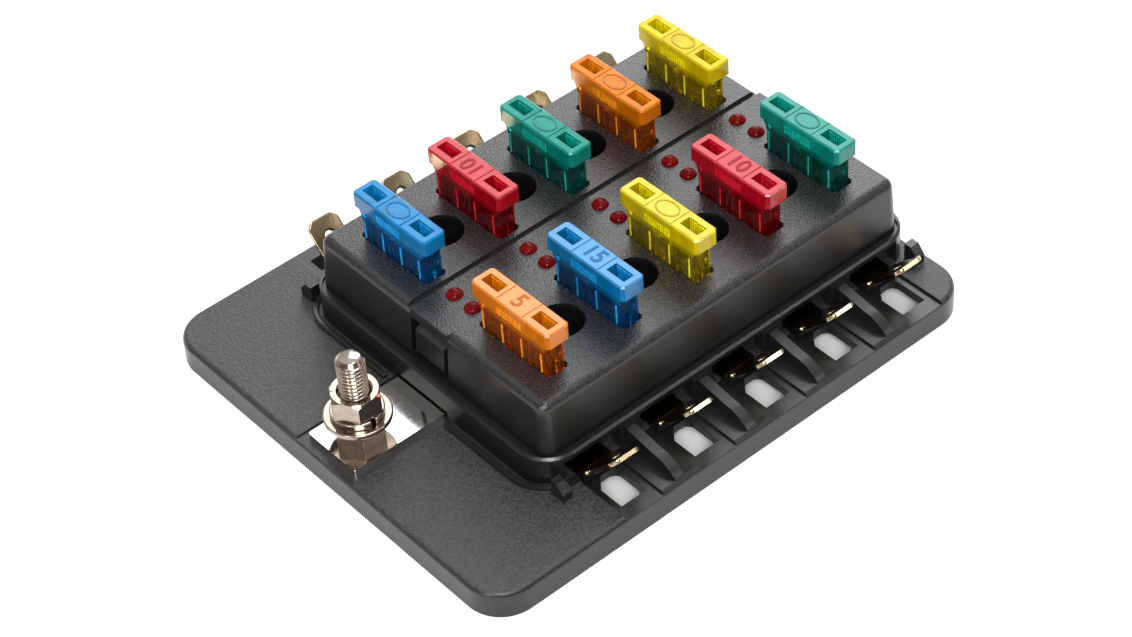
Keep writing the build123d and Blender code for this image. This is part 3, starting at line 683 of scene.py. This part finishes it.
def lamp_tree():
    """Geometry tree of a round lamp at each point: a straight body with a smooth domed crown."""
    tree, given = new_tree(
        "lamp_crowns",
        [
            ("Radius", "Float", 1.5 * MM),
            ("Body height", "Float", 2 * MM),
            ("Crown height", "Float", 1 * MM),
            ("Material", "Material", None),
        ],
    )
    rod = {"Vertices": 32, "Radius": given["Radius"], "Depth": given["Body height"]}
    body = add(tree, "GeometryNodeMeshCylinder", rod)
    drop = add(tree, MATH, {0: given["Body height"], 1: -0.5}, operation="MULTIPLY")
    lowered = add(tree, "GeometryNodeTransform", {"Geometry": body, "Translation": add(tree, XYZ, {2: drop})})
    ball = add(tree, "GeometryNodeMeshUVSphere", {"Segments": 32, "Rings": 20, "Radius": 1.0})
    size = add(tree, XYZ, {0: given["Radius"], 1: given["Radius"], 2: given["Crown height"]})
    crown = add(tree, "GeometryNodeTransform", {"Geometry": ball, "Scale": size})
    both = add(tree, "GeometryNodeJoinGeometry", {"Geometry": lowered})
    tree.links.new(crown.outputs[0], both.inputs["Geometry"])
    rows = add(tree, AT_POINTS, {"Points": given["Geometry"], "Instance": both})
    return end_tree(tree, rows, given["Material"])


# ---------------------------------------------------------------- operators


class FUSEBLOCK_OT_mouldings(bpy.types.Operator):
    """Finish the base plate and the housing as black moulded nylon"""

    bl_idname = "fuseblock.mouldings"
    bl_label = "Plate and housing"

    def execute(self, context):
        colour = chosen_colour(context, "moulding")
        bay_margin = 0.3 * MM
        plate = textured_nylon(
            "nylon_textured_plate",
            colour,
            grain=0.42 * MM,
            roughness=0.46,
            heights=(4.8 * MM, 5.1 * MM, 5.3 * MM),
            # Lighter tone of the grain, a painted sheen
            painted_sheen_factors=(1.0, 7.0),
            bays=(
                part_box("output_terminal_a1")[0].x - bay_margin,
                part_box("output_terminal_a5")[1].x + bay_margin,
                31.5 * MM,
            ),
        )
        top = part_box("fuse_housing")[1].z
        housing = textured_nylon(
            "nylon_fine_housing",
            shade(colour, 0.9),
            grain=0.36 * MM,
            roughness=0.27,
            heights=(top - 1.2 * MM, top - 0.3 * MM, top + MM),
            # Lighter tone of the grain, a painted sheen
            painted_sheen_factors=(0.8, 4.0),
        )
        for node_name, name, nylon in (
            ("base_plate", "plate_moulding", plate),
            ("fuse_housing", "housing_moulding", housing),
        ):
            width = context.scene.fuse_block_sizes.edge_round
            dressed_copy(node_name, name, nylon, "block", "black_plastic", width)
        return {"FINISHED"}


class FUSEBLOCK_OT_fuses(bpy.types.Operator):
    """Finish the ten fuse bodies, with their ribs, ratings and ovals, and their metal elements"""

    bl_idname = "fuseblock.fuses"
    bl_label = "Fuses"

    def execute(self, context):
        sizes = context.scene.fuse_block_sizes
        names = sorted({tint for tint, frost_and_sheen in FUSES.values()})
        tints = {n: chosen_colour(context, n) for n in names}
        raised = {n: raised_fuse_plastic("polycarbonate_raised_" + n, tints[n]) for n in names}
        edges = {n: edge_lit_plastic("polycarbonate_edge_" + n, tints[n]) for n in names}
        element = plated_metal(
            "tinned_zinc_sheet", "#d6d6d2", "#aeb0ae", roughness=0.3, grain=0.2 * MM, stretch=(1, 1, 6)
        )
        rib_rule = ribs_tree()
        for way, (tint, frost_and_sheen) in FUSES.items():
            clear = clear_fuse_plastic("polycarbonate_" + way + "_" + tint, tints[tint], frost_and_sheen)
            node_name = "fuse_body_" + way
            ride = ("fuse_" + way, "fuse_" + tint)
            dressed_copy(node_name, "fuse_shell_" + way, clear, *ride, sizes.fuse_edge_round)
            self.ribs(way, rib_rule, edges[tint], clear, ride)
            self.figure(way, sizes, raised[tint], ride)
            paint_node("fuse_element_" + way, element)
        return {"FINISHED"}

    def ribs(self, way, rule, edge_lit, clear, ride):
        """Combs in the test windows, knurls under the pad, rods on the flanks and flutes on the waist."""
        low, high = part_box("fuse_body_" + way)
        centre = middle("fuse_body_" + way)
        levels = {
            "comb": (high.z - 3.5 * MM, high.z - 0.3 * MM),
            "knurls": (high.z - 2.85 * MM, high.z - 1.35 * MM),
            # From just above the housing up to the ears, so that they clear the pocket
            "rods": (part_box("fuse_housing")[1].z + 0.25 * MM, high.z - 5.2 * MM),
            "flutes": (low.z + 0.15 * MM, low.z + 6.55 * MM),
        }
        for name, kinds, material in (
            ("fuse_ribs_" + way, ("comb", "knurls", "rods"), edge_lit),
            ("fuse_flutes_" + way, ("flutes",), clear),
        ):
            work = bmesh.new()
            for kind in kinds:
                out, places, count, pitch, width, depth = RIBS[kind]
                bottom, top = levels[kind]
                points = [
                    (centre.x + side * out * MM, centre.y + place * MM, (bottom + top) / 2)
                    for side in (-1, 1)
                    for place in places
                ]
                rows = grown(
                    kind + "_" + way,
                    rule,
                    points,
                    count=count,
                    pitch=pitch * MM,
                    width=width * MM,
                    depth=depth * MM,
                    height=top - bottom,
                    material=material,
                )
                work.from_mesh(rows)
            dress(new_piece(name, to_mesh(work, name, 40)), material, *ride)

    def figure(self, way, sizes, material, ride):
        """The raised rating, or a plain raised oval, on the pad between the windows."""
        curve = self.rating(way, sizes.digit_height) if way in RATING else self.oval(way)
        curve.extrude = sizes.digit_relief
        carrier = new_piece("figure_carrier_" + way, curve)
        mesh = plain_mesh(carrier, "figure_" + way)
        bpy.data.objects.remove(carrier)
        pad = middle("fuse_body_" + way)
        pad.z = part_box("fuse_body_" + way)[1].z
        # Row a reads towards -Y with its tops to +X, row b the other way round
        turn = Matrix.Rotation(radians(-90 if way[0] == "a" else 90), 4, "Z")
        mesh.transform(Matrix.Translation(pad) @ turn)
        work = bmesh.new()
        work.from_mesh(mesh)
        bmesh.ops.remove_doubles(work, verts=work.verts, dist=0.001 * MM)
        bmesh.ops.recalc_face_normals(work, faces=work.faces)
        name = "fuse_figure_" + way
        dress(new_piece(name, to_mesh(work, name, 40)), material, *ride)

    def rating(self, way, digit_height):
        """Curve of the rating in the built-in font."""
        cap_height = 0.7  # of the font's size
        curve = bpy.data.curves.new("rating_" + way, "FONT")
        curve.body = RATING[way]
        curve.size = digit_height / cap_height
        curve.offset = 0.05 * MM
        curve.align_x = "CENTER"
        curve.align_y = "CENTER"
        return curve

    def oval(self, way):
        """Curve of an oval ring, from its outer and its inner outline."""
        corners = 36
        curve = bpy.data.curves.new("oval_" + way, "CURVE")
        curve.dimensions = "2D"
        curve.fill_mode = "BOTH"
        for half_length, half_height in ((2.5 * MM, 1.75 * MM), (2.2 * MM, 1.45 * MM)):
            spline = curve.splines.new("POLY")
            spline.points.add(corners - 1)
            for i, point in enumerate(spline.points):
                turn = 2 * pi * i / corners
                point.co = (half_length * cos(turn), half_height * sin(turn), 0, 1)
            spline.use_cyclic_u = True
        return curve


class FUSEBLOCK_OT_terminals(bpy.types.Operator):
    """Finish the busbar, the output terminals and what lies inside the housing"""

    bl_idname = "fuseblock.terminals"
    bl_label = "Busbar and terminals"

    def execute(self, context):
        sizes = context.scene.fuse_block_sizes
        strip = plated_metal(
            "bright_nickel_strip",
            "#efece8",
            "#e0dcd6",
            roughness=0.08,
            grain=0.25 * MM,
            stretch=(12, 1, 1),
            relief=0.002 * MM,
        )
        tab = plated_metal(
            "nickelled_brass_tab",
            "#bcae90",
            "#96876a",
            roughness=0.16,
            grain=0.4 * MM,
            stretch=(1, 8, 8),
            relief=0.001 * MM,
        )
        dressed_copy("busbar", "busbar_strip", strip, "block", "nickel_plate", sizes.metal_edge_round)
        for way in WAYS:
            node_name = "output_terminal_" + way
            name = "output_tab_" + way
            dressed_copy(node_name, name, tab, "block", "tab_nickel", sizes.tab_edge_round, 3)
        zinc = plated_metal("zinc_plated_screw", "#b9bbbd", "#8f9193", roughness=0.35, grain=0.3 * MM)
        paint_node("housing_screws", zinc)
        paint_node("circuit_board", coated_laminate("green_coated_laminate", linear("#1e5b38")))
        paint_node("resistors", moulded_chip("black_chip_resistor", linear("#202124")))
        return {"FINISHED"}


class FUSEBLOCK_OT_stud(bpy.types.Operator):
    """Cut the thread of the supply stud and finish its nuts and washers"""

    bl_idname = "fuseblock.stud"
    bl_label = "Supply stud"

    def execute(self, context):
        sizes = context.scene.fuse_block_sizes
        nickel = plated_metal(
            "bright_nickelled_steel",
            "#b5a99c",
            "#93877b",
            roughness=0.15,
            grain=0.5 * MM,
            relief=0.004 * MM,
            stain=3.0 * MM,
        )
        stud = new_piece("threaded_stud", self.stud(sizes, nickel))
        # Also sets the thread's faces, which the tree leaves on a second slot, back to the first one
        stud.data.materials.clear()
        dress(stud, nickel, "block", "stud_steel", "stud")
        for node_name, body in (("lower_nut", "block"), ("upper_nut", "upper_nut_body")):
            nut = new_piece("bright_" + node_name, self.nut(node_name))
            soften(nut, sizes.metal_edge_round)
            dress(nut, nickel, body, "stud_steel", node_name)
        for node_name, body in (("flat_washer", "block"), ("lock_washer", "lock_washer_body")):
            name = "bright_" + node_name
            dressed_copy(node_name, name, nickel, body, "stud_steel", sizes.washer_edge_round, 3)
        return {"FINISHED"}

    def stud(self, sizes, material):
        """Threaded rod on the hexagonal head that the plate holds under the busbar."""
        low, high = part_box("stud")
        centre = middle("stud")
        head_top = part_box("busbar")[0].z
        rod = grown(
            "stud_thread",
            thread_tree(),
            [(0, 0, 0)],
            radius=2.5 * MM,
            pitch=sizes.thread_pitch,
            depth=sizes.thread_depth,
            low=head_top,
            length=high.z - head_top,
            tip_chamfer=0.75 * MM,
            centre=(centre.x, centre.y, 0.0),
            material=material,
        )
        work = bmesh.new()
        work.from_mesh(rod)
        bmesh.ops.holes_fill(work, edges=[e for e in work.edges if e.is_boundary], sides=0)
        bmesh.ops.recalc_face_normals(work, faces=work.faces)
        corner = (high.x - low.x) / 2
        turns = [pi / 3 * i for i in range(6)]
        rings = [
            [work.verts.new((centre.x + corner * cos(t), centre.y + corner * sin(t), z)) for t in turns]
            for z in (low.z, head_top)
        ]
        work.faces.new(reversed(rings[0]))
        work.faces.new(rings[1])
        for i in range(6):
            j = (i + 1) % 6
            work.faces.new((rings[0][i], rings[0][j], rings[1][j], rings[1][i]))
        return to_mesh(work, "threaded_stud", 50)

    def nut(self, node_name):
        """Nut with both mouths of its thread countersunk."""
        work = merged_copy(node_name)
        low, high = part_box(node_name)
        axis = middle("stud").xy
        mouth_limit = 2.7 * MM
        level = 0.001 * MM
        rim = []
        for edge in work.edges:
            ends = [v.co.xy - axis for v in edge.verts]
            first, second = (v.co.z for v in edge.verts)
            at_end = min(abs(first - z) for z in (low.z, high.z)) < level
            if at_end and abs(first - second) < level and max(e.length for e in ends) < mouth_limit:
                rim.append(edge)
        bmesh.ops.bevel(work, geom=rim, offset=0.5 * MM, segments=1, affect="EDGES", profile=0.5)
        return to_mesh(work, "bright_" + node_name, 25)


class FUSEBLOCK_OT_lamps(bpy.types.Operator):
    """Make the domed crowns of the ten lamps"""

    bl_idname = "fuseblock.lamps"
    bl_label = "Lamps"

    def execute(self, context):
        epoxy = clear_epoxy("red_cast_epoxy", chosen_colour(context, "lamp"))
        low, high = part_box("lamp_a1")
        crown = 1.25 * MM
        lead_length = 3.0 * MM
        nodes = ["lamp_" + way for way in WAYS]
        mesh = grown(
            "lamp_crowns",
            lamp_tree(),
            [(*middle(node).xy, high.z - crown) for node in nodes],
            radius=(high.x - low.x) / 2,
            body_height=high.z - crown - low.z - lead_length,
            crown_height=crown,
            material=epoxy,
        )
        piece = new_piece("lamp_crowns", smooth(mesh, 60))
        dress(piece, epoxy, "block", "lamp_red", *nodes)
        return {"FINISHED"}


class FUSEBLOCK_OT_stage(bpy.types.Operator):
    """Set the pale floor, the soft lights and the camera"""

    bl_idname = "fuseblock.stage"
    bl_label = "Studio"

    def execute(self, context):
        self.floor()
        self.world(context.scene)
        for name, (place, size, power) in SOFTBOXES.items():
            self.softbox(name, place, size, power)
        self.camera(context.scene)
        context.scene.view_settings.view_transform = "Standard"
        return {"FINISHED"}

    def floor(self):
        """Pale matte paper, large enough that its edge never shows."""
        half = 3.0
        corners = [(-half, -half, 0), (half, -half, 0), (half, half, 0), (-half, half, 0)]
        mesh = bpy.data.meshes.new("floor")
        mesh.from_pydata(corners, [], [(0, 1, 2, 3)])
        mesh.materials.append(paper("pale_paper_floor"))
        new_piece("studio_floor", mesh)

    def world(self, scene):
        """White surround, bright behind and above the block and dim on the side of the camera."""
        world = bpy.data.worlds.new("white_studio")
        world.use_nodes = True
        tree = world.node_tree
        tree.nodes.clear()
        direction = add(tree, "ShaderNodeTexCoord").outputs["Generated"]
        bright_side = (0.45, 0.58, 0.68)
        towards = add(tree, "ShaderNodeVectorMath", {0: direction, 1: bright_side}, operation="DOT_PRODUCT")
        share = add(tree, RANGE, span(towards, 0.0, 1.0, 0.15, 0.85))
        dim_to_bright = {0: share, 6: linear("#85786c"), 7: linear("#ffffff")}
        tone = add(tree, MIX, dim_to_bright, data_type="RGBA")
        surround = add(tree, "ShaderNodeBackground", {"Color": tone, "Strength": 1.0})
        add(tree, "ShaderNodeOutputWorld", {"Surface": surround})
        scene.world = world

    def softbox(self, name, place, size, power):
        """Square soft light aimed at the origin."""
        data = bpy.data.lights.new(name, "AREA")
        data.shape = "SQUARE"
        data.size = size
        data.energy = power
        light = new_piece(name, data)
        light.location = place
        light.rotation_euler = (-Vector(place)).to_track_quat("-Z", "Y").to_euler()

    def camera(self, scene):
        """Camera at the photograph's place: its right, up and forward directions and where it stands."""
        right = Vector((0.75358542, -0.65479451, -0.05790652))
        up = Vector((0.47925217, 0.48698526, 0.73017992))
        forward = Vector((0.44991818, 0.57800476, -0.68079668))
        place = Vector((-0.22652324, -0.29029826, 0.34461367))
        focal_pixels, photo_width = 2920.3, 1132
        data = bpy.data.cameras.new("photo_camera")
        data.sensor_width = 36.0
        data.lens = focal_pixels / photo_width * 36.0
        data.clip_start = 0.01
        data.clip_end = 20.0
        camera = new_piece("photo_camera", data)
        turn = Matrix((right, up, -forward)).transposed().to_4x4()
        camera.matrix_world = Matrix.Translation(place) @ turn
        scene.camera = camera


class FUSEBLOCK_PT_panel(bpy.types.Panel):
    """Lists the settings and the steps of the fuse block"""

    bl_idname = "FUSEBLOCK_PT_panel"
    bl_label = "Fuse Block"
    bl_space_type = "VIEW_3D"
    bl_region_type = "UI"
    bl_category = "Fuse Block"

    def draw(self, context):
        layout = self.layout
        for group in (context.scene.fuse_block_sizes, context.scene.fuse_block_colours):
            for key in group.__annotations__:
                layout.prop(group, key)
        for step in STEPS:
            layout.operator(step.bl_idname)


STEPS = (
    FUSEBLOCK_OT_mouldings,
    FUSEBLOCK_OT_fuses,
    FUSEBLOCK_OT_terminals,
    FUSEBLOCK_OT_stud,
    FUSEBLOCK_OT_lamps,
    FUSEBLOCK_OT_stage,
)
CLASSES = (FuseBlockSizes, FuseBlockColours, *STEPS, FUSEBLOCK_PT_panel)


def register():
    for cls in CLASSES:
        bpy.utils.register_class(cls)
    bpy.types.Scene.fuse_block_sizes = bpy.props.PointerProperty(type=FuseBlockSizes)
    bpy.types.Scene.fuse_block_colours = bpy.props.PointerProperty(type=FuseBlockColours)


def unregister():
    del bpy.types.Scene.fuse_block_colours
    del bpy.types.Scene.fuse_block_sizes
    for cls in reversed(CLASSES):
        bpy.utils.unregister_class(cls)


def main():
    register()
    bpy.ops.fuseblock.mouldings()
    bpy.ops.fuseblock.fuses()
    bpy.ops.fuseblock.terminals()
    bpy.ops.fuseblock.stud()
    bpy.ops.fuseblock.lamps()
    bpy.ops.fuseblock.stage()


if __name__ == "__main__":
    main()
